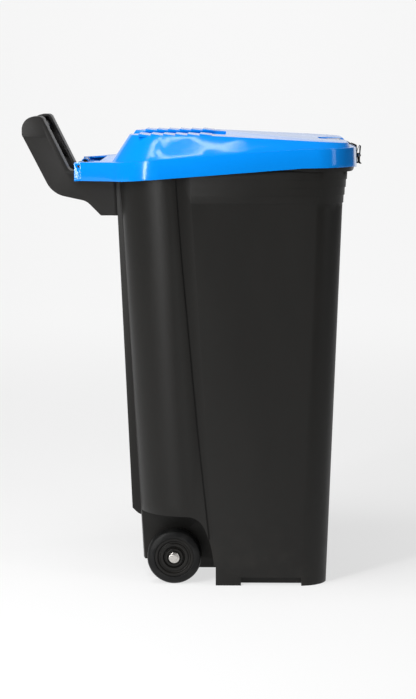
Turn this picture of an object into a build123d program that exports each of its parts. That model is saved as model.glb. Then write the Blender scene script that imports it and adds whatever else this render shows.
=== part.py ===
from build123d import *
import os
from math import asin, atan2, cos, degrees, radians, sin, tan

os.makedirs("parts", exist_ok=True)

# Frame: +X to the front (latch), +Y to the pusher's left, +Z up, origin on the floor.

# Tub
base_front = 248.5
base_rear = -90.5
base_half_width = 206.0
front_draft = 0.0345
rear_draft = 0.0545
side_draft = 0.0355
front_corner_r = 50.0
rear_corner_r = 92.0
wall = 3.5
panel_step = 3.5
crease_top_gap = 275.0
crease_foot_gap = 207.5
floor_z = 36.5
skirt_foot_z = 15.3
stand_rib_inset = 26.0
heel_z = 20.0
foot_back = 43.8
foot_length = 46.6
front_foot_length = 47.0
foot_thickness = 30.0
front_foot_width = 96.0
band_height = 14.2
band_step = 1.5
band_count = 4
spine_proud = 17.4
spine_draft = 0.0455
spine_foot_z = 117.0

# Rim and lid line: heights of the crease round the lid, front high and rear low
crease_z = 805.0
crease_falls = (31.0, 26.8, 1.6, 0.0, 6.5)
front_bow = 1600.0
skirt_height = 34.0
skirt_lean = 2.5
lid_wall = 3.0
lid_gap = 0.5
rim_reach = 17.0
rim_corner_r = 66.0
rim_side_reach = 3.9
lip_wall = 3.0
lip_drop = 42.5
lid_front_gap = 3.5
lid_side_gap = 3.6
lid_rear_gap = 16.0
lid_front_r = 70.0
lid_rear_r = 95.0
dome_rise = 21.0
dome_front_inset = 10.0
dome_side_inset = 7.0
dome_lean = 48.0
dome_rear_r = 88.0
dome_front_r = 62.0
dome_top_setback = 40.0
channel_half_width = 90.0
channel_depth = 6.8
channel_end = 212.0
pocket_half_width = 32.0
pocket_length = 69.0
rib_pitch = 22.0
rib_count = 6
rib_rise = 2.5
rib_half_length = 50.0

# Handle and hinge
handle_half_width = 112.0
arm_width = 48.0
handle_reach = 224.0
handle_wall = 4.0
grip_r = 17.0
border_width = 6.5
border_depth = 1.2
tongue_overhang = 13.0
tongue_reach = 127.0
hinge_barrel_r = 7.5
hinge_pin_r = 3.0
running_gap = 0.06
knuckle_width = 19.0
lug_width = 16.0
side_gap = 0.5
screw_r = 3.0
screw_clearance = 0.3
pin_head_r = 5.5
deck_half_depth = 5.0

# Wheels
wheel_r = 50.0
wheel_width = 36.0
axle_x = -33.0
axle_r = 6.0
hub_r = 17.0
tread_r = 36.0
well_floor = 142.0
well_roof_z = 130.0
boss_length = 12.0
boss_r = 13.0
under_rib_spacing = 80.0
washer_thickness = 2.0
washer_r = 11.0
cap_r = 10.5

# Latch
latch_half_width = 18.0
plate_thickness = 2.0
lever_half_width = 8.5
lever_pivot_drop = 22.0
lever_pivot_reach = 7.4
latch_pin_r = 1.5
nose_gap = 0.9
nose_half_width = 6.0
slot_half_width = 7.5
strap_screw_r = 2.0
strap_screw_offset = 9.0

BIG = 600.0


def prism(points, half_width, centre_y=0.0):
    """Outline in X and Z, as a slab along Y."""
    face = make_face(Polyline(*points, close=True))
    return Pos(0, centre_y, 0) * extrude(Plane.XZ * face, half_width, both=True)


def block(x0, x1, y0, y1, z0, z1):
    return Pos((x0 + x1) / 2, (y0 + y1) / 2, (z0 + z1) / 2) * Box(x1 - x0, y1 - y0, z1 - z0)


def both_sides(shape):
    return shape + mirror(shape, Plane.XZ)


def rod_y(x, z, radius, y0, y1):
    return Pos(x, (y0 + y1) / 2, z) * Rot(90, 0, 0) * Cylinder(radius, y1 - y0)


def plan(x_rear, x_front, half_width, r_rear, r_front, z, bow=None):
    """Rounded outline seen from above, its front straight or bowed to a radius."""
    face = Pos((x_rear + x_front) / 2, 0) * Rectangle(x_front - x_rear, 2 * half_width)
    if bow:
        face = face & Pos(x_front - bow, 0) * Rot(0, 0, 180) * Circle(bow)
    face = fillet(face.vertices().group_by(Axis.X)[0], r_rear)
    face = fillet(face.vertices().group_by(Axis.X)[-1], r_front)
    return Pos(0, 0, z) * face


def tub_front(z):
    return base_front + front_draft * z


def tub_rear(z):
    return base_rear - rear_draft * z


def tub_side(z):
    return base_half_width + side_draft * z


def spine_face(z):
    return base_rear - spine_proud - spine_draft * z


top_z = crease_z + 15.0
rim_front = tub_front(crease_z) + rim_reach + 6.2
rim_rear = tub_rear(crease_z) - 1.6
rim_side = tub_side(crease_z) + rim_side_reach
lid_front = rim_front + lid_front_gap
lid_side = rim_side + lid_side_gap
lid_rear = rim_rear - lid_rear_gap
tongue_rear = spine_face(crease_z) - tongue_reach + 54.0
crease_xs = (tongue_rear, lid_rear + 27.0, lid_front - 103.0, lid_front - 12.0, lid_front + 3.0)
crease = [(x, crease_z - fall) for x, fall in zip(crease_xs, crease_falls)]
root_top_z = crease[0][1] - 16.1
root_foot_z = root_top_z - 81.9
spine_half_width = handle_half_width
tongue_half_width = handle_half_width + tongue_overhang


def under_crease(drop):
    """Everything below the crease line let down by drop."""
    points = [(x, z - drop) for x, z in crease]
    first = (-BIG, points[0][1])
    last = (BIG, points[-1][1])
    return prism([(-BIG, -20), first] + points + [last, (BIG, -20)], BIG)


def crease_at(x):
    for (x0, z0), (x1, z1) in zip(crease, crease[1:]):
        if x <= x1:
            return z0 + (z1 - z0) * (x - x0) / (x1 - x0)
    return crease[-1][1]


def column_zone(shift):
    """The rear part of the tub, behind the slanting side crease."""
    foot = (base_front - crease_foot_gap - shift, 0)
    middle = (base_front - 241.0 - shift, 311)
    head = (tub_front(top_z) - crease_top_gap - 36.0 - shift, top_z)
    edge = ThreePointArc(foot, middle, head)
    back = Polyline(head, (-BIG, top_z), (-BIG, 0), foot)
    return extrude(Plane.XZ * make_face(edge + back), BIG, both=True)


def tub_loft(inset, step, z0, z1):
    sections = []
    for z in (z0, z1):
        sections.append(
            plan(
                tub_rear(z) + inset,
                tub_front(z) - inset,
                tub_side(z) - inset - step,
                rear_corner_r - inset,
                front_corner_r - inset,
                z,
            )
        )
    return loft(sections, ruled=True)


def tub_form(inset, z0):
    column = tub_loft(inset, 0.0, z0, top_z) & column_zone(inset)
    return column + tub_loft(inset, panel_step, z0, top_z)


def spine_form(inset):
    top = root_top_z - inset
    foot = spine_foot_z + inset
    points = [
        (tub_rear(foot) + 20, foot - 12 + inset),
        (spine_face(foot) + 10 + inset, foot),
        (spine_face(foot + 10) + inset, foot + 10),
        (spine_face(top) + inset, top),
        (tub_rear(top) + 20, top),
    ]
    return prism(points, spine_half_width - inset)


def bands():
    """Stepped bands under the rim, each further out than the one below, fading to the rear."""
    stack = None
    for index in range(band_count):
        z1 = crease_z - lip_drop - band_height * index
        z0 = z1 - band_height
        proud = (band_count - index) * band_step
        sections = []
        for z in (z0, z1):
            flush = tub_side(z) - panel_step + 0.2
            front = tub_front(z) + proud
            right = [(0, -flush), (front, -flush - proud)]
            left = [(front, flush + proud), (0, flush)]
            face = make_face(Polyline(*right, *left, close=True))
            face = fillet(face.vertices().group_by(Axis.X)[-1], front_corner_r)
            sections.append(Pos(0, 0, z) * face)
        band = loft(sections, ruled=True)
        stack = band if stack is None else stack + band
    return stack - column_zone(-2.0)


def rim_plan(inset):
    corners = (lid_rear_r - inset, rim_corner_r - inset)
    face = plan(rim_rear + inset, rim_front - inset, rim_side - inset, *corners, 0, front_bow - inset)
    return extrude(face, top_z)


def rim():
    """Turned-down rim: a top flange with an outer lip round the tub."""
    lip_line = [(-BIG, crease[1][1] - 31), (lid_rear, crease[1][1] - 31), (150, crease_at(150) - 33)]
    lip_line += [(rim_front - 80, crease_z - lip_drop), (BIG, crease_z - lip_drop)]
    above = prism(lip_line + [(BIG, top_z), (-BIG, top_z)], BIG)
    band = rim_plan(0) & above & under_crease(lid_wall + lid_gap)
    trough = rim_plan(lip_wall) & under_crease(lid_wall + lid_gap + lip_wall)
    return band - trough


def wheel_well(shift):
    """Room for a wheel, outline grown by shift to give the wall inside the tub."""
    roof = well_roof_z + shift
    front = foot_back - 1.2 + shift
    arc_start = (axle_x + 21, roof)
    down = Line((front - 1.6, 30), (front, -1))
    knots = [arc_start, (arc_start[0] + 40, roof - 34), (front - 1.6, 30)]
    curve = Spline(*knots, tangents=((1, 0), (0.06, -1)))
    rest = Polyline((front, -1), (-BIG, -1), (-BIG, roof), arc_start)
    side = extrude(Plane.XZ * make_face(curve + down + rest), 120)
    return both_sides(Pos(0, -(well_floor - shift), 0) * side)


def feet(inset):
    """Rear feet under the sides and front feet round the corners."""
    inner = tub_side(0) - foot_thickness - inset
    rear = block(foot_back + inset, foot_back + foot_length - inset, -BIG, BIG, -1, floor_z + 4)
    rear -= block(-BIG, BIG, -inner, inner, -2, 60)
    corner = block(base_front - front_foot_length + inset, BIG, -BIG, BIG, -1, floor_z + 4)
    corner -= block(-BIG, base_front - foot_thickness - inset, -inner, inner, -2, 60)
    mid = tub_side(0) - front_foot_width - inset
    corner -= block(-BIG, BIG, -mid, mid, -2, 60)
    return rear + corner


def side_skirt():
    """Walls carried below the floor, and the ribs that join the feet on each side."""
    ring = tub_form(0.0, 0.0) & block(foot_back, BIG, -BIG, BIG, skirt_foot_z, floor_z + 1)
    ring -= tub_form(wall, -4.0)
    rib_y = tub_side(0) - stand_rib_inset
    rib_x = (foot_back + foot_length - 2, base_front - front_foot_length + 2)
    rib = block(*rib_x, rib_y - wall, rib_y, 0, floor_z + 1)
    return ring + both_sides(rib)


def screw_places():
    low = root_foot_z + 19
    high = root_top_z - 20
    y = handle_half_width - arm_width / 2
    return [(spine_face(z), side * y, z) for z in (low, high) for side in (-1, 1)]


def screw_plane(place):
    x, y, z = place
    return Plane(origin=(x, y, z), x_dir=(0, 1, 0), z_dir=(-1, 0, -spine_draft))


def body_shell():
    outer = tub_form(0.0, 0.0)
    upper = outer & block(-BIG, BIG, -BIG, BIG, floor_z, top_z)
    stand = outer & feet(0.0)
    heel = outer & block(-BIG, foot_back + wall, -well_floor, well_floor, heel_z, floor_z + 1)
    heel_back = axle_x - 27
    slope = [(tub_rear(45) - 1, 45), (heel_back, heel_z - 0.1), (heel_back, 0)]
    heel -= prism([(-BIG, 0), (-BIG, 60)] + slope, BIG)
    shape = upper + stand + heel + side_skirt() + spine_form(0.0) + bands()
    shape = (shape & under_crease(lid_wall + lid_gap)) + rim()
    shape -= wheel_well(0.0)

    cavity = tub_form(wall, 4.0)
    cavity_floor = block(-BIG, BIG, -BIG, BIG, floor_z + wall, top_z + 1)
    cavity = (cavity & cavity_floor) + (cavity & feet(wall) & block(-BIG, BIG, -BIG, BIG, 4, 60))
    axle_hump = block(-BIG, foot_back + wall, -BIG, BIG, -1, axle_roof + wall)
    cavity = cavity + spine_form(wall)
    cavity = cavity - axle_hump - wheel_well(wall)
    shape -= cavity

    under = tub_loft(wall, panel_step, 0.1, 100) & block(
        -BIG, foot_back - 1.2, -(well_floor - 5), well_floor - 5, -1, axle_roof
    )
    ribs = None
    for y in (-under_rib_spacing, 0, under_rib_spacing):
        rib = block(-BIG, BIG, y - 2, y + 2, -1, axle_roof)
        ribs = rib if ribs is None else ribs + rib
    shape -= under - ribs - both_sides(rod_y(axle_x, wheel_r, boss_r, well_floor - 22, well_floor))
    shape += both_sides(rod_y(axle_x, wheel_r, boss_r, well_floor - 1, boss_face))
    shape -= rod_y(axle_x, wheel_r, axle_r, -BIG, BIG)
    for place in screw_places():
        shape -= screw_plane(place) * Cylinder(screw_r + screw_clearance, 40)
    catch_z = pivot_z - 11.4
    catch_y = (-nose_half_width, nose_half_width)
    catch = block(rim_front - lip_wall, lid_front + 1.0, *catch_y, catch_z, catch_z + 2.8)
    return shape + catch


def handle_side(inset):
    """Side view of an arm, from the grip down to the root on the tub."""
    back = spine_face(root_top_z) - handle_reach + 51.9
    top = root_top_z + 99.8
    base_x = spine_face(root_top_z)
    corners = [
        (back, top),
        (back + 37, top),
        (back + 86.5, root_top_z),
        (base_x, root_top_z),
        (spine_face(root_foot_z), root_foot_z),
        (spine_face(root_foot_z) - 31, root_foot_z),
        (spine_face(root_foot_z) - 57.5, root_foot_z + 26.5),
        (back + 55.5, root_foot_z + 40),
        (back, root_foot_z + 148),
    ]
    radii = [24, 9, 12, None, None, None, 28, 48, 10]
    face = make_face(Polyline(*corners, close=True))
    for (x, z), radius in zip(corners, radii):
        if radius:
            near = face.vertices().sort_by_distance((x, z, 0))[0]
            face = fillet(near, radius)
    if inset:
        face = offset(face, -inset, kind=Kind.ARC)
    return face


def handle():
    half = arm_width / 2
    outer_y = handle_half_width
    arm = extrude(Plane.XZ * handle_side(0), half, both=True)
    arm = Pos(0, outer_y - half, 0) * arm
    pocket = extrude(Plane.XZ * handle_side(handle_wall), half, both=True)
    pocket = Pos(0, outer_y - half - handle_wall - border_depth, 0) * pocket
    panel = handle_side(0) & Pos(-border_width, -border_width) * handle_side(0)
    panel = panel & Pos(0, root_top_z + 62.0 - BIG) * Rectangle(4 * BIG, 2 * BIG)
    arm -= Pos(0, outer_y, 0) * extrude(Plane.XZ * panel, border_depth, both=True)
    keep = None
    slopes = ((-290, 800), (-272, 765), (-250, 740), (-215, 735), (-180, 725))
    for x, z in slopes:
        web = Pos(x + handle_shift, outer_y - half, z + rise) * Rot(0, 32, 0) * Box(90, arm_width, 3)
        keep = web if keep is None else keep + web
    for place in screw_places():
        if place[1] > 0:
            keep += screw_plane(place) * Pos(0, 0, 14) * Cylinder(8, 28)
    arm = arm - (pocket - keep)
    grip_x = spine_face(root_top_z) - handle_reach + 51.9 + 21
    grip_z = root_top_z + 76
    shape = both_sides(arm)
    inner = outer_y - arm_width + 1
    shape += rod_y(grip_x, grip_z, grip_r, -inner - 1, inner + 1)
    face_x = spine_face(root_top_z)
    plate = prism(
        [
            (face_x, root_top_z),
            (spine_face(root_foot_z), root_foot_z),
            (spine_face(root_foot_z) - 6, root_foot_z),
            (face_x - 6, root_top_z),
        ],
        inner,
    )
    deck = block(hinge_x - deck_half_depth, face_x - 3, -inner, inner, root_top_z - 10, root_top_z - 5.5)
    shape = shape + plate + deck
    for side in (-1, 1):
        y = side * lug_centre
        lug = (y - lug_width / 2, y + lug_width / 2)
        stem = block(hinge_x - hinge_barrel_r, hinge_x + hinge_barrel_r, *lug, root_top_z - 12, hinge_z)
        shape += stem + rod_y(hinge_x, hinge_z, hinge_barrel_r, *lug)
        shape -= rod_y(hinge_x, hinge_z, hinge_pin_r, y - 30, y + 30)
    for place in screw_places():
        shape -= screw_plane(place) * Pos(0, 0, 10) * Cylinder(screw_r, 30)
    return shape


def handle_screws():
    group = []
    for place in screw_places():
        shank = Pos(0, 0, 9) * Cylinder(screw_r, 30)
        head = Pos(0, 0, -wall - 2.2) * Cylinder(2 * screw_r, 4)
        slot = Pos(0, 0, -wall - 4.2) * Box(8, 1.4, 2)
        group.append(screw_plane(place) * (shank + head - slot))
    return Compound(children=[piece.solid() for piece in group])


def skirt_x(z):
    """Front face of the skirt at height z."""
    return lid_front + (crease_z + 10 - z) * tan(radians(skirt_lean))


def dome_top(drop):
    """Line of the lid's top from rear to front, closed underneath."""
    high = crease_z + dome_rise - drop
    front = lid_front
    line = [
        (lid_rear - 10, high),
        (lid_rear + 172, high),
        (front - 53, high - 11.3),
        (front - 20, high - 13.2),
        (front - dome_front_inset, crease_z - 10 - drop),
    ]
    return line + [(front - dome_front_inset, 0), (lid_rear - 10, 0)]


def dome(inset):
    slope = atan2(crease[2][1] - crease[1][1], crease[2][0] - crease[1][0])
    tilted = Plane(origin=(0, 0, crease_at(0) - 5 - inset))
    tilted = tilted.rotated((0, -degrees(slope), 0))
    rear = lid_rear + 1 + inset
    front = lid_front - dome_front_inset + 3 - inset
    side = lid_side - dome_side_inset + 2 - inset
    bow = front_bow - inset
    low = tilted * plan(rear, front, side, dome_rear_r - inset, dome_front_r - inset, 0, bow)
    lift = crease_z + 27 - inset
    high_corners = (dome_rear_r - 28 - inset, dome_front_r - 12 - inset)
    high = plan(rear + dome_top_setback, front - 8, side - dome_lean - 3, *high_corners, lift, bow)
    return loft([low, high], ruled=True) & prism(dome_top(inset), BIG)


def channel(drop, grow):
    """Room sunk into the dome: a wide channel between the rib rows and a pocket at the latch."""
    top = dome_top(drop)[:5]
    top[0] = (-BIG, top[0][1])
    sunk = [(x, z - channel_depth) for x, z in top]
    above = [(x, z + 15) for x, z in reversed(top)]
    band = prism(sunk + above, BIG)
    end = lid_rear + channel_end + grow
    rear = block(-BIG, end, -channel_half_width - grow, channel_half_width + grow, 0, 2 * BIG)
    start = lid_front - pocket_length - grow
    pocket = block(start, BIG, -pocket_half_width - grow, pocket_half_width + grow, 0, 2 * BIG)
    return band & (rear + pocket)


def gusset_plan(inset):
    """Flare from the tongue's side to the lid's rear corner, seen from above."""
    start_x = tongue_rear + 12.0
    start_y = tongue_half_width - inset
    centre_x = lid_rear + lid_rear_r
    centre_y = lid_side - lid_rear_r
    reach = ((centre_x - start_x) ** 2 + (centre_y - start_y) ** 2) ** 0.5
    turn = atan2(centre_y - start_y, centre_x - start_x) + asin((lid_rear_r - inset) / reach)
    along = (reach**2 - (lid_rear_r - inset) ** 2) ** 0.5
    touch = (start_x + along * cos(turn), start_y + along * sin(turn))
    return [(start_x, 0), (start_x, start_y), touch, (touch[0], 0)]


def lid_block(inset, top_drop, bottom_drop):
    """The skirt and ledge under the crease, with the rear tongue."""
    sections = []
    for depth in (-10.0, 100.0):
        out = (depth + 10.0) * tan(radians(skirt_lean)) - inset
        corners = (lid_rear_r + out, lid_front_r + out)
        size = (lid_rear - out, lid_front + out, lid_side + out)
        sections.append(plan(*size, *corners, crease_z - depth, front_bow + out))
    body = loft(sections, ruled=True)
    half = tongue_half_width - inset
    rear = tongue_rear + inset - hinge_barrel_r * (inset > 0)
    tongue = block(rear, 0, -half, half, crease_z - 110, crease_z + 10)
    flare = extrude(make_face(Polyline(*gusset_plan(inset), close=True)), 120)
    flare = Pos(0, 0, crease_z - 110) * flare
    return (body + tongue + both_sides(flare)) & (under_crease(top_drop) - under_crease(bottom_drop))


def ribs_on_dome():
    high = crease_z + dome_rise
    first = lid_rear + 56
    group = None
    for index in range(rib_count):
        x = first + rib_pitch * index
        back = [(x, high - 3), (x, high + rib_rise)]
        front = [(x + rib_pitch, high), (x + rib_pitch, high - 3)]
        tooth = prism(back + front, rib_half_length, channel_half_width + rib_half_length - 3)
        group = tooth if group is None else group + tooth
    return both_sides(group)


def knuckles():
    solid = None
    for side in (-1, 1):
        for sign in (-1, 1):
            y = side * (lug_centre + sign * (lug_width / 2 + side_gap + knuckle_width / 2))
            span = (y - knuckle_width / 2, y + knuckle_width / 2)
            barrel = rod_y(hinge_x, hinge_z, hinge_barrel_r, *span)
            arm = block(hinge_x, hinge_x + 14, *span, tray_z - lid_wall, tray_z + 1)
            piece = barrel + arm
            solid = piece if solid is None else solid + piece
    return solid


def lid_shell():
    outer = lid_block(0.0, 0.0, skirt_height) + (dome(0.0) - channel(0.0, 0.0))
    inner = lid_block(lid_wall, lid_wall, skirt_height + 30)
    inner += dome(lid_wall) - channel(lid_wall, lid_wall)
    shape = outer - inner + ribs_on_dome()
    half = tongue_half_width - 6
    tray_front = tongue_rear + 46
    shape -= block(tongue_rear - 1, tray_front, -half, half, tray_z, crease_z)
    clear = tongue_half_width - lid_wall
    floor_half = tongue_half_width - 1
    floor_back = hinge_x + hinge_barrel_r + 1
    shape -= block(tongue_rear - 1, floor_back, -clear, clear, tray_z - 40, crease_z)
    shape += block(floor_back, tray_front + 3, -floor_half, floor_half, tray_z - lid_wall, tray_z)
    tray_wall_top = crease_at(tray_front) - 1
    shape += block(tray_front, tray_front + 3, -half - 1, half + 1, tray_z - lid_wall, tray_wall_top)
    shape += knuckles()
    shape -= rod_y(hinge_x, hinge_z, hinge_pin_r + running_gap, -BIG, BIG)
    shape -= block(lid_front - 8, BIG, -slot_half_width, slot_half_width, 0, pivot_z - 8)
    for y in (-strap_screw_offset, strap_screw_offset):
        shape -= Pos(strap_x, y, strap_z - 5) * Cylinder(strap_screw_r, 14)
    return shape


def hinge_pin(side):
    """Pin through a lug and its two knuckles, headed on the side nearer the middle."""
    reach = lug_width / 2 + side_gap + knuckle_width
    head_y = lug_centre - reach - side_gap - 1.5
    pin = rod_y(hinge_x, hinge_z, hinge_pin_r, head_y, lug_centre + reach)
    pin += rod_y(hinge_x, hinge_z, pin_head_r, head_y - 1.5, head_y + 1.5)
    return pin if side > 0 else mirror(pin, Plane.XZ)


def axle():
    return rod_y(axle_x, wheel_r, axle_r, -cap_seat - 3, cap_seat + 3)


def axle_cap(side):
    """Domed push-on cap with a stepped face."""
    skirt = Pos(0, 0, 2.4) * Cylinder(cap_r, 4.8)
    skirt = fillet(skirt.edges().sort_by(Axis.Z)[-1], 2.6)
    crown = Pos(0, 0, 5.2) * Cylinder(cap_r - 4, 1.6)
    crown = fillet(crown.edges().sort_by(Axis.Z)[-1], 0.8)
    cap = skirt + crown - Pos(0, 0, 1.5) * Cylinder(axle_r, 3)
    return Pos(axle_x, side * cap_seat, wheel_r) * Rot(-90 * side, 0, 0) * cap


def axle_washer(side):
    y0 = boss_face
    ring = rod_y(axle_x, wheel_r, washer_r, y0, y0 + washer_thickness)
    ring -= rod_y(axle_x, wheel_r, axle_r, y0 - 1, y0 + washer_thickness + 1)
    return ring if side > 0 else mirror(ring, Plane.XZ)


def turned(points, side):
    """Ring turned about the axle from an outline of radius and width."""
    face = make_face(Plane.XZ * Polyline(*points, close=True))
    return Pos(axle_x, side * wheel_mid, wheel_r) * Rot(-90 * side, 0, 0) * revolve(face, Axis.Z)


def wheel(side):
    half = wheel_width / 2
    bore = axle_r + running_gap
    inner = [(bore, -half + 0.5), (hub_r, -half + 0.5), (hub_r, -4), (tread_r - 4, -4)]
    inner += [(tread_r - 4, -half + 2), (tread_r, -half + 2)]
    outer = [(tread_r, half - 2), (31, half - 2), (29, half - 5), (26.5, half - 5), (25.5, half - 3)]
    outer += [(20.5, half - 3), (19, half - 6.5), (hub_r, half - 6.5), (hub_r - 1, half - 0.5)]
    outer += [(13, half - 0.5), (12, half - 2), (bore, half - 2)]
    return turned(inner + outer, side)


def tyre(side):
    half = wheel_width / 2
    points = [(tread_r, -half), (wheel_r - 5, -half), (wheel_r, -half + 5), (wheel_r, half - 7)]
    points += [(wheel_r - 2, half - 2.6), (wheel_r - 7, half), (tread_r, half)]
    return turned(points, side)


def bracket_line(lift):
    """Path of the strap over the front edge of the lid, raised by lift."""
    end = lid_front - dome_front_inset
    top = strap_z
    near = end + 1.5
    face_x = skirt_x(crease_at(lid_front)) + 0.2
    return [
        (strap_x - 22, top + 1.2 + lift),
        (end - 5 + lift * 0.5, top - 0.6 + lift),
        (end + 1 + lift, top - 4 + lift * 0.4),
        (near + lift, crease_at(near) + 0.6 + lift),
        (face_x + lift, crease_at(lid_front) + 0.6 + lift),
        (skirt_x(pivot_z - 13.0) + 0.2 + lift, pivot_z - 13.0),
    ]


def latch_bracket():
    line = bracket_line(0.0)
    upper = bracket_line(plate_thickness)
    shape = prism(line + list(reversed(upper)), latch_half_width)
    ear_x = lid_front + 1.5
    for y in (-lever_half_width - 2, lever_half_width + 2):
        ear = rod_y(pivot_x, pivot_z, 3.6, y - 1.5, y + 1.5)
        ear += block(ear_x, pivot_x, y - 1.5, y + 1.5, pivot_z - 3.6, pivot_z + 3.6)
        shape += ear
    shape -= rod_y(pivot_x, pivot_z, latch_pin_r, -BIG, BIG)
    shape -= block(lid_front - 8, BIG, -slot_half_width, slot_half_width, 0, pivot_z - 8)
    for y in (-strap_screw_offset, strap_screw_offset):
        shape -= Pos(strap_x, y, strap_z) * Cylinder(strap_screw_r, 14)
    return shape


def latch_screws():
    group = []
    for y in (-strap_screw_offset, strap_screw_offset):
        shank = Pos(strap_x, y, strap_z - 3) * Cylinder(strap_screw_r, 14)
        head = Pos(strap_x, y, strap_z + 3.6) * Cylinder(3.6, 1.6)
        group.append(shank + head)
    return Compound(children=[piece.solid() for piece in group])


def latch_cover():
    """Small cap over the two strap screws."""
    top = strap_z + 6.0
    cap = block(strap_x - 13, strap_x + 13, -15, 15, strap_z + 1.5, top)
    cap = fillet(cap.edges().filter_by(Axis.Z), 4)
    cap = fillet(cap.faces().sort_by(Axis.Z)[-1].edges(), 1)
    return cap - block(strap_x - 11, strap_x + 11, -13.4, 13.4, 0, top - 1.2) - latch_bracket()


def latch_lever():
    x = pivot_x
    z = pivot_z
    hub = rod_y(x, z, 3.2, -lever_half_width, lever_half_width)
    top = [(x + 1, z), (x + 1.6, z + 16.4), (x + 0.4, z + 17.2), (x + 0.8, z + 18.6)]
    top += [(x + 3.2, z + 18.2), (x + 4, z + 16.6), (x + 2.5, z)]
    upper = prism(top, lever_half_width)
    foot = [(x - 2.6, z - 1), (x - 1.4, z - 11), (x - 0.6, z - 15), (x + 2.2, z - 16.2)]
    foot += [(x + 4.9, z - 16.2), (x + 4.9, z - 14.8), (x + 2.6, z - 13), (x + 2.2, z - 8), (x + 2.5, z)]
    lower = prism(foot, lever_half_width)
    tip = rim_front + nose_gap
    outline = [(x - 1, z - 12), (tip + 0.6, z - 12.2), (tip, z - 14.6), (x - 1, z - 15.2)]
    nose = prism(outline, nose_half_width)
    shape = hub + upper + lower + nose
    return shape - rod_y(x, z, latch_pin_r + running_gap, -BIG, BIG)


def latch_pin():
    reach = lever_half_width + 3.5
    pin = rod_y(pivot_x, pivot_z, latch_pin_r, -reach - 1.5, reach + 1.5)
    for y0 in (-reach - 1.5, reach):
        pin += rod_y(pivot_x, pivot_z, 2.4, y0, y0 + 1.5)
    return pin


def latch_spring():
    """Leaf bent out from the bracket to the back of the lever."""
    x = lid_front + 3.8
    z = pivot_z + 4.6
    outline = [(x, z), (x + 0.2, z + 3), (x + 2.6, z + 11), (x + 2.0, z + 12), (x + 2.6, z + 12.6)]
    outline += [(x + 3.4, z + 11), (x + 0.9, z + 2.8), (x + 0.7, z)]
    return prism(outline, 5)


axle_roof = wheel_r + 21.5
boss_face = well_floor + boss_length
wheel_mid = boss_face + washer_thickness + 0.5 + wheel_width / 2
cap_seat = wheel_mid + wheel_width / 2 - 1.5
hinge_x = tongue_rear + hinge_barrel_r
hinge_z = crease[0][1] - hinge_barrel_r
tray_z = hinge_z + 1.0
lug_centre = handle_half_width - arm_width + 14.0
handle_shift = spine_face(root_top_z) + 142.4
rise = root_top_z - 757.9
pivot_x = lid_front + lever_pivot_reach
pivot_z = crease_z - lever_pivot_drop
strap_x = lid_front - 40.0
strap_z = crease_z + dome_rise - 11.9 - channel_depth + 0.4

nodes = {
    "body_shell": body_shell(),
    "handle": handle(),
    "handle_screws": handle_screws(),
    "hinge_pin_left": hinge_pin(1),
    "hinge_pin_right": hinge_pin(-1),
    "lid_shell": lid_shell(),
    "axle": axle(),
    "axle_cap_left": axle_cap(1),
    "axle_cap_right": axle_cap(-1),
    "axle_washer_left": axle_washer(1),
    "axle_washer_right": axle_washer(-1),
    "wheel_left": wheel(1),
    "wheel_right": wheel(-1),
    "tyre_left": tyre(1),
    "tyre_right": tyre(-1),
    "latch_bracket": latch_bracket(),
    "latch_cover": latch_cover(),
    "latch_screws": latch_screws(),
    "latch_lever": latch_lever(),
    "latch_pin": latch_pin(),
    "latch_spring": latch_spring(),
}
for name, shape in nodes.items():
    export_step(shape, f"parts/{name}.step")
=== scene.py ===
from math import radians

import bpy
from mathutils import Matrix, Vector


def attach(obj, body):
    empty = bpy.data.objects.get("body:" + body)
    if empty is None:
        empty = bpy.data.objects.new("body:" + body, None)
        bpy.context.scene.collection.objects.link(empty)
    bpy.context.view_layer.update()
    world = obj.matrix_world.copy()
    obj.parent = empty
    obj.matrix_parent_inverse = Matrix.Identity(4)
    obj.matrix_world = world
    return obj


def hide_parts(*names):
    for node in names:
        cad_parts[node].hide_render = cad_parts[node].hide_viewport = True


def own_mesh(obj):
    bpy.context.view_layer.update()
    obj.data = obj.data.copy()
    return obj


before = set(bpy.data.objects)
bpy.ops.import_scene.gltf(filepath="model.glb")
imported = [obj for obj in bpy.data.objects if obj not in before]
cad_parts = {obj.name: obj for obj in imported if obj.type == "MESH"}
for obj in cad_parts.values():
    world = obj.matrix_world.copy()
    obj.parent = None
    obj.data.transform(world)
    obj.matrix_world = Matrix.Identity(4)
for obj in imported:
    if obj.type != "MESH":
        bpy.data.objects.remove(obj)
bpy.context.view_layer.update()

bl_info = {
    "name": "Wheelie Bin",
    "version": (1, 0, 0),
    "blender": (4, 5, 0),
    "location": "View3D > Sidebar > Bin",
    "description": "Builds a two-wheeled bin with a hinged lid around its packed frame",
    "category": "Object",
}

MM = 0.001
WELD_REACH = 0.02 * MM
FLAT_ANGLE = radians(0.6)
EDGE_ANGLE = radians(28)
SMOOTH_ANGLE = radians(32)
CAMERA_PITCH = radians(7.6035)
CAMERA_YAW = radians(0.997)
CAMERA_X = 0.0981
CAMERA_LENS = 112.46
SWEEP_SIZE = 8
SWEEP_MIDDLE_Y = 2.7
SWEEP_BACK_Y = 3.9
WALL_HEIGHT = 5
WALL_BEND = 2.2


# ---------------------------------------------------------------- sizes and colours

class BinSizes(bpy.types.PropertyGroup):
    moulding_edge: bpy.props.FloatProperty(
        name="Moulding edge", description="Basis of the radius on the large mouldings",
        default=1.6 * MM, unit="LENGTH")
    small_edge: bpy.props.FloatProperty(
        name="Small edge", description="Basis of the radius on latch, pins, wheels and washers",
        default=0.35 * MM, unit="LENGTH")
    camera_back: bpy.props.FloatProperty(
        name="Camera distance", description="How far the camera stands from the middle of the bin",
        default=4.136, unit="LENGTH")
    camera_height: bpy.props.FloatProperty(
        name="Camera height", description="Height of the camera over the floor",
        default=0.9642, unit="LENGTH")


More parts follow.
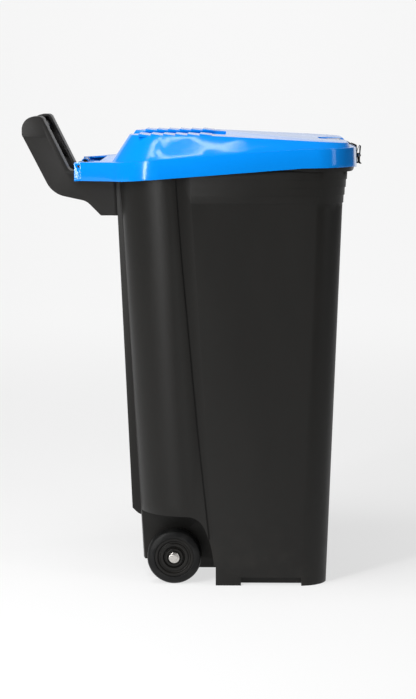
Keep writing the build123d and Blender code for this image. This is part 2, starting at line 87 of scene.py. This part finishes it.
class BinColours(bpy.types.PropertyGroup):
    tub: bpy.props.FloatVectorProperty(
        name="Tub", description="Black of the tub", subtype="COLOR", size=4, min=0, max=1,
        default=(0.0095, 0.009, 0.0081, 1))
    handle: bpy.props.FloatVectorProperty(
        name="Handle", description="Black of the handle", subtype="COLOR", size=4, min=0, max=1,
        default=(0.0135, 0.0128, 0.012, 1))
    lid: bpy.props.FloatVectorProperty(
        name="Lid", description="Blue of the lid", subtype="COLOR", size=4, min=0, max=1,
        default=(0.0, 0.222, 0.74, 1))
    tyre: bpy.props.FloatVectorProperty(
        name="Tyre", description="Black of the tyres", subtype="COLOR", size=4, min=0, max=1,
        default=(0.0052, 0.0054, 0.0056, 1))
    cover: bpy.props.FloatVectorProperty(
        name="Latch cover", description="Grey of the latch cover", subtype="COLOR", size=4, min=0, max=1,
        default=(0.36, 0.36, 0.37, 1))
    steel: bpy.props.FloatVectorProperty(
        name="Steel", description="Bright zinc of the caps and pins", subtype="COLOR", size=4, min=0, max=1,
        default=(0.62, 0.6, 0.57, 1))


# ---------------------------------------------------------------- shader maths

class Wire:
    """One socket of a material, so that sums on it add Math nodes."""

    def __init__(self, desk, socket):
        self.desk = desk
        self.socket = socket

    def maths(self, operation, *others):
        return self.desk.node("ShaderNodeMath", {"operation": operation}, (self, *others))

    def __add__(self, other):
        return self.maths("ADD", other)

    __radd__ = __add__

    def __mul__(self, other):
        return self.maths("MULTIPLY", other)

    __rmul__ = __mul__


class Desk:
    """A material being wired."""

    def __init__(self, name):
        self.material = bpy.data.materials.new(name)
        self.material.use_nodes = True
        self.tree = self.material.node_tree
        self.shader = self.tree.nodes["Principled BSDF"]

    def node(self, kind, settings=None, inputs=(), out=0):
        made = self.tree.nodes.new(kind)
        for key, value in (settings or {}).items():
            if key == "stops":
                ramp = made.color_ramp
                for index, (place, shade) in enumerate(value):
                    stop = ramp.elements[index] if index < 2 else ramp.elements.new(place)
                    stop.position = place
                    stop.color = (shade, shade, shade, 1)
            else:
                setattr(made, key, value)
        pairs = inputs.items() if isinstance(inputs, dict) else enumerate(inputs)
        for key, value in pairs:
            self.plug(made.inputs[key], value)
        return Wire(self, made.outputs[out])

    def plug(self, socket, value):
        if isinstance(value, Wire):
            self.tree.links.new(value.socket, socket)
        else:
            socket.default_value = value

    def place(self, stretch=(1, 1, 1)):
        spot = self.node("ShaderNodeTexCoord", out="Object")
        return self.node("ShaderNodeMapping", {}, {"Vector": spot, "Scale": stretch})

    def noise(self, scale, detail=3.0, stretch=(1, 1, 1), rough=0.55):
        return self.node("ShaderNodeTexNoise", {}, {
            "Vector": self.place(stretch), "Scale": scale, "Detail": detail, "Roughness": rough})

    def ramp(self, value, stops):
        return self.node("ShaderNodeValToRGB", {"stops": stops}, (value,))

    def blend(self, mask, low, high):
        made = self.tree.nodes.new("ShaderNodeMix")
        made.data_type = "RGBA"
        self.plug(made.inputs["Factor"], mask)
        self.plug(made.inputs["A"], low)
        self.plug(made.inputs["B"], high)
        return Wire(self, made.outputs["Result"])

    def bump(self, height, distance, strength=1.0):
        return self.node("ShaderNodeBump", {}, {
            "Height": height, "Distance": distance, "Strength": strength})

    def set(self, **values):
        for key, value in values.items():
            self.plug(self.shader.inputs[key.replace("_", " ")], value)
        return self.material

    def height(self):
        """Height over the floor, in metres."""
        spot = self.node("ShaderNodeTexCoord", out="Object")
        return self.node("ShaderNodeSeparateXYZ", {}, (spot,), out="Z")


def scaled(colour, gain):
    return tuple(min(1.0, part * gain) for part in colour[:3]) + (1,)


def moulded_black(name, colour, gloss, grain):
    """Black polypropylene: fine spark grain, flow mottling, pale dust low down and faint rubs."""
    desk = Desk(name)
    mottle = desk.ramp(desk.noise(9, 4, (1, 1, 0.35)), ((0.3, 0.0), (0.75, 1.0)))
    base = desk.blend(mottle, scaled(colour, 0.88), scaled(colour, 1.14))
    rubs = desk.ramp(desk.noise(60, 5, (1, 1, 0.06), 0.7), ((0.66, 0.0), (0.78, 1.0)))
    low = desk.ramp(desk.height(), ((0.0, 1.0), (0.16, 0.0)))
    dust = desk.ramp(desk.noise(38, 6), ((0.45, 0.0), (0.8, 1.0))) * low
    worn = desk.blend(dust * 0.08 + rubs * 0.05, base, (0.11, 0.1, 0.085, 1))
    pits = desk.noise(1500 * grain, 2)
    swirl = desk.noise(26, 3, (1, 1, 0.25))
    rough = gloss + mottle * 0.06 + rubs * 0.12 + dust * 0.2
    coarse = desk.bump(swirl, 0.0009, 0.12)
    fine = desk.tree.nodes.new("ShaderNodeBump")
    desk.plug(fine.inputs["Height"], pits)
    desk.plug(fine.inputs["Distance"], 0.00012)
    desk.plug(fine.inputs["Strength"], 0.5)
    desk.plug(fine.inputs["Normal"], coarse)
    return desk.set(Base_Color=worn, Roughness=rough, Normal=Wire(desk, fine.outputs["Normal"]),
                    Specular_IOR_Level=0.24)


def glossy_blue(colour):
    """Blue polypropylene: even gloss, slight sink and flow waves, hairline scuffs on the top."""
    desk = Desk("lid_blue_gloss")
    flow = desk.ramp(desk.noise(5, 3, (0.5, 1, 1)), ((0.3, 0.0), (0.72, 1.0)))
    base = desk.blend(flow, scaled(colour, 0.93), scaled(colour, 1.05))
    hairs = desk.ramp(desk.noise(170, 4, (0.05, 1, 1), 0.7), ((0.68, 0.0), (0.78, 1.0)))
    worn = desk.blend(hairs * 0.1, base, (0.3, 0.52, 0.8, 1))
    speck = desk.ramp(desk.noise(420, 2), ((0.72, 0.0), (0.8, 1.0)))
    rough = 0.12 + flow * 0.04 + hairs * 0.12 + speck * 0.05
    waves = desk.noise(14, 2)
    orange = desk.noise(700, 2)
    height = waves * 0.3 + orange * 0.1
    return desk.set(Base_Color=worn, Roughness=rough, Normal=desk.bump(height, 0.0006, 0.07),
                    Specular_IOR_Level=0.3)


def tyre_rubber(colour):
    desk = Desk("tyre_rubber")
    bloom = desk.ramp(desk.noise(55, 5), ((0.4, 0.0), (0.72, 1.0)))
    low = desk.ramp(desk.noise(240, 3), ((0.5, 0.0), (0.75, 1.0)))
    base = desk.blend(bloom * 0.25 + low * 0.12, colour, (0.03, 0.029, 0.027, 1))
    pits = desk.noise(1800, 2)
    return desk.set(Base_Color=base, Roughness=0.4 + bloom * 0.14, Specular_IOR_Level=0.2,
                    Normal=desk.bump(pits, 0.00015, 0.45))


def zinc_steel(name, colour, rough):
    desk = Desk(name)
    spangle = desk.noise(420, 4)
    streaks = desk.ramp(desk.noise(900, 3, (1, 0.1, 1)), ((0.35, 0.0), (0.7, 1.0)))
    spots = desk.ramp(desk.noise(160, 5), ((0.62, 0.0), (0.74, 1.0)))
    base = desk.blend(spangle, scaled(colour, 0.82), scaled(colour, 1.12))
    worn = desk.blend(spots * 0.3, base, (0.25, 0.19, 0.13, 1))
    finish = rough + streaks * 0.12 + spots * 0.2
    return desk.set(Base_Color=worn, Roughness=finish, Metallic=1.0,
                    Normal=desk.bump(streaks, 0.00006, 0.3))


def cover_grey(colour):
    desk = Desk("cover_grey_satin")
    cloud = desk.noise(90, 4)
    base = desk.blend(cloud, scaled(colour, 0.9), scaled(colour, 1.08))
    return desk.set(Base_Color=base, Roughness=0.36 + cloud * 0.14,
                    Normal=desk.bump(desk.noise(1600, 2), 0.0001, 0.4))


def studio_white():
    desk = Desk("studio_white")
    return desk.set(Base_Color=(0.27, 0.27, 0.27, 1), Roughness=0.9, Specular_IOR_Level=0.0,
                    Emission_Color=(1, 1, 1, 1), Emission_Strength=0.67)


# ---------------------------------------------------------------- workshop helpers

def clear_selection():
    if bpy.context.object and bpy.context.object.mode != "OBJECT":
        bpy.ops.object.mode_set(mode="OBJECT")
    bpy.ops.object.select_all(action="DESELECT")


def activate(piece):
    clear_selection()
    piece.select_set(True)
    bpy.context.view_layer.objects.active = piece


def casting(node, name):
    """A welded copy of a frame node, its flat faces made whole, ready for its edges."""
    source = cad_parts[node]
    piece = source.copy()
    piece.data = source.data.copy()
    piece.name = name
    piece.parent = None
    bpy.context.collection.objects.link(piece)
    activate(piece)
    if piece.data.has_custom_normals:
        bpy.ops.mesh.customdata_custom_splitnormals_clear()
    bpy.ops.object.mode_set(mode="EDIT")
    bpy.ops.mesh.select_all(action="SELECT")
    bpy.ops.mesh.remove_doubles(threshold=WELD_REACH)
    bpy.ops.mesh.dissolve_limited(angle_limit=FLAT_ANGLE)
    bpy.ops.object.mode_set(mode="OBJECT")
    return piece


def soften(piece, width, segments):
    """Rounds the edges and smooths the faces between them."""
    activate(piece)
    edge = piece.modifiers.new("edge", "BEVEL")
    edge.width = width
    edge.segments = segments
    edge.limit_method = "ANGLE"
    edge.angle_limit = EDGE_ANGLE
    edge.use_clamp_overlap = True
    edge.miter_outer = "MITER_ARC"
    bpy.ops.object.modifier_apply(modifier="edge")
    bpy.ops.object.shade_smooth_by_angle(angle=SMOOTH_ANGLE)


def dress(piece, material, body, node):
    piece.data.materials.clear()
    piece.data.materials.append(material)
    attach(piece, body)
    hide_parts(node)


def colours():
    return bpy.context.scene.bin_colours


def sizes():
    return bpy.context.scene.bin_sizes


def moulding(node, body, material, width, segments=2):
    """One finished piece in place of its frame node."""
    piece = casting(node, node + "_moulding")
    soften(piece, width, segments)
    dress(piece, material, body, node)
    return piece


# ---------------------------------------------------------------- operators

class BIN_OT_tub(bpy.types.Operator):
    """Mould the tub with its rim, spine, wheel wells and feet"""
    bl_idname = "bin.tub"
    bl_label = "Tub"

    def execute(self, context):
        black = moulded_black("tub_black_grain", colours().tub, 0.42, 1.0)
        moulding("body_shell", "bin", black, sizes().moulding_edge * 0.6)
        return {"FINISHED"}


class BIN_OT_handle(bpy.types.Operator):
    """Mould the two-armed handle with its grip bar"""
    bl_idname = "bin.handle"
    bl_label = "Handle"

    def execute(self, context):
        black = moulded_black("handle_black_grain", colours().handle, 0.4, 0.8)
        moulding("handle", "bin", black, sizes().moulding_edge, 3)
        return {"FINISHED"}


class BIN_OT_lid(bpy.types.Operator):
    """Mould the blue lid with its ribbed dome, tongue and skirt"""
    bl_idname = "bin.lid"
    bl_label = "Lid"

    def execute(self, context):
        blue = glossy_blue(colours().lid)
        moulding("lid_shell", "lid", blue, sizes().moulding_edge * 0.6)
        return {"FINISHED"}


class BIN_OT_wheels(bpy.types.Operator):
    """Turn both wheels and their tyres"""
    bl_idname = "bin.wheels"
    bl_label = "Wheels"

    def execute(self, context):
        disc = moulded_black("wheel_black_satin", scaled(colours().tub, 0.85), 0.34, 0.9)
        rubber = tyre_rubber(colours().tyre)
        for side in ("left", "right"):
            body = "wheel_" + side
            moulding("wheel_" + side, body, disc, sizes().small_edge * 1.6, 3)
            moulding("tyre_" + side, body, rubber, sizes().small_edge * 3, 3)
        return {"FINISHED"}


class BIN_OT_running_gear(bpy.types.Operator):
    """Make the axle, its washers and its push-on caps"""
    bl_idname = "bin.running_gear"
    bl_label = "Axle, washers and caps"

    def execute(self, context):
        bright = zinc_steel("cap_bright_zinc", colours().steel, 0.2)
        dull = zinc_steel("rod_dull_zinc", scaled(colours().steel, 0.75), 0.34)
        moulding("axle", "bin", dull, sizes().small_edge)
        for side in ("left", "right"):
            moulding("axle_washer_" + side, "bin", dull, sizes().small_edge * 0.7)
            moulding("axle_cap_" + side, "bin", bright, sizes().small_edge * 0.7)
        return {"FINISHED"}


class BIN_OT_latch(bpy.types.Operator):
    """Make the latch: strap, cover, lever, pin and leaf spring"""
    bl_idname = "bin.latch"
    bl_label = "Latch"

    def execute(self, context):
        black = moulded_black("latch_black_satin", colours().handle, 0.3, 1.2)
        grey = cover_grey(colours().cover)
        bright = zinc_steel("spring_bright_steel", colours().steel, 0.22)
        moulding("latch_bracket", "lid", black, sizes().small_edge)
        moulding("latch_cover", "lid", grey, sizes().small_edge * 0.8)
        moulding("latch_lever", "latch_lever", black, sizes().small_edge)
        moulding("latch_pin", "lid", bright, sizes().small_edge * 0.6)
        spring = moulding("latch_spring", "lid", bright, sizes().small_edge * 0.3)
        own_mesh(spring)
        return {"FINISHED"}


class BIN_OT_fasteners(bpy.types.Operator):
    """Make the handle screws, strap screws and hinge pins"""
    bl_idname = "bin.fasteners"
    bl_label = "Screws and hinge pins"

    def execute(self, context):
        zinc = zinc_steel("screw_zinc", colours().steel, 0.3)
        black = moulded_black("pin_black_satin", colours().handle, 0.35, 1.2)
        moulding("handle_screws", "bin", zinc, sizes().small_edge)
        moulding("latch_screws", "lid", zinc, sizes().small_edge * 0.6)
        for side in ("left", "right"):
            moulding("hinge_pin_" + side, "bin", black, sizes().small_edge)
        return {"FINISHED"}


class BIN_OT_stage(bpy.types.Operator):
    """Set the pale sweep, the soft lights and the camera"""
    bl_idname = "bin.stage"
    bl_label = "Stage"

    def execute(self, context):
        self.sweep()
        self.lights()
        self.camera(context)
        return {"FINISHED"}

    def sweep(self):
        """A floor that curves up into a wall behind the bin."""
        clear_selection()
        bpy.ops.mesh.primitive_plane_add(size=SWEEP_SIZE, location=(0, SWEEP_MIDDLE_Y, 0))
        floor = bpy.context.object
        floor.name = "studio_sweep"
        bpy.ops.object.mode_set(mode="EDIT")
        bpy.ops.mesh.select_all(action="DESELECT")
        bpy.ops.object.mode_set(mode="OBJECT")
        for edge in floor.data.edges:
            ends = [floor.data.vertices[index].co.y for index in edge.vertices]
            edge.select = min(ends) > SWEEP_BACK_Y
        bpy.ops.object.mode_set(mode="EDIT")
        bpy.ops.mesh.extrude_region_move(TRANSFORM_OT_translate={"value": (0, 0, WALL_HEIGHT)})
        bpy.ops.object.mode_set(mode="OBJECT")
        bend = floor.modifiers.new("bend", "BEVEL")
        bend.width = WALL_BEND
        bend.segments = 24
        bend.limit_method = "ANGLE"
        bpy.ops.object.modifier_apply(modifier="bend")
        bpy.ops.object.shade_smooth()
        floor.data.transform(floor.matrix_world)
        floor.matrix_world.identity()
        floor.data.materials.append(studio_white())

    def lights(self):
        world = bpy.data.worlds.new("studio")
        bpy.context.scene.world = world
        world.use_nodes = True
        sky = world.node_tree.nodes["Background"]
        sky.inputs["Color"].default_value = (1, 1, 1, 1)
        sky.inputs["Strength"].default_value = 0.1
        panels = (
            ("key_softbox", (-1.25, -2.0, 1.0), 0.2, 1.9, 34, True),
            ("broad_softbox", (-1.2, -1.5, 1.7), 0.9, 1.2, 24, False),
            ("strip_softbox", (-0.62, -0.25, 2.9), 0.16, 1.6, 12, True),
            ("top_softbox", (-0.5, -0.6, 3.0), 1.2, 1.2, 30, False),
            ("wall_softbox", (0, 3.2, 3.6), 3.0, 1.0, 112, False),
            ("edge_softbox", (1.5, -1.1, 1.2), 0.3, 1.5, 5, True),
        )
        for name, place, width, height, power, mirrored in panels:
            aim = Vector((0, 6.7, 0.6)) if name == "wall_softbox" else Vector((0, 0, 0.45))
            bpy.ops.object.light_add(type="AREA", location=place)
            lamp = bpy.context.object
            lamp.name = name
            lamp.data.shape = "RECTANGLE"
            lamp.data.size = width
            lamp.data.size_y = height
            lamp.data.energy = power
            lamp.visible_glossy = mirrored
            lamp.rotation_euler = (aim - lamp.location).to_track_quat("-Z", "Y").to_euler()

    def camera(self, context):
        """The bin is seen from its right side, a little from above."""
        view = bpy.data.cameras.new("side_view")
        eye = bpy.data.objects.new("side_view", view)
        context.collection.objects.link(eye)
        eye.location = (CAMERA_X, -sizes().camera_back, sizes().camera_height)
        eye.rotation_euler = (radians(90) - CAMERA_PITCH, 0, CAMERA_YAW)
        view.lens = CAMERA_LENS
        view.sensor_width = 36
        view.clip_end = 60
        context.scene.camera = eye
        context.scene.view_settings.view_transform = "Standard"


class BIN_PT_panel(bpy.types.Panel):
    """The bin's pieces, in the order they are made"""
    bl_label = "Wheelie bin"
    bl_idname = "BIN_PT_panel"
    bl_space_type = "VIEW_3D"
    bl_region_type = "UI"
    bl_category = "Bin"

    def draw(self, context):
        for group in (context.scene.bin_sizes, context.scene.bin_colours):
            box = self.layout.box()
            for key in group.__annotations__:
                box.prop(group, key)
        for maker in MAKERS:
            self.layout.operator(maker.bl_idname)


MAKERS = (BIN_OT_tub, BIN_OT_handle, BIN_OT_lid, BIN_OT_wheels, BIN_OT_running_gear,
          BIN_OT_latch, BIN_OT_fasteners, BIN_OT_stage)
CLASSES = (BinSizes, BinColours, *MAKERS, BIN_PT_panel)


def register():
    for cls in CLASSES:
        bpy.utils.register_class(cls)
    bpy.types.Scene.bin_sizes = bpy.props.PointerProperty(type=BinSizes)
    bpy.types.Scene.bin_colours = bpy.props.PointerProperty(type=BinColours)


def unregister():
    del bpy.types.Scene.bin_colours
    del bpy.types.Scene.bin_sizes
    for cls in reversed(CLASSES):
        bpy.utils.unregister_class(cls)


def main():
    register()
    for maker in MAKERS:
        group, name = maker.bl_idname.split(".")
        getattr(getattr(bpy.ops, group), name)()


if __name__ == "__main__":
    main()
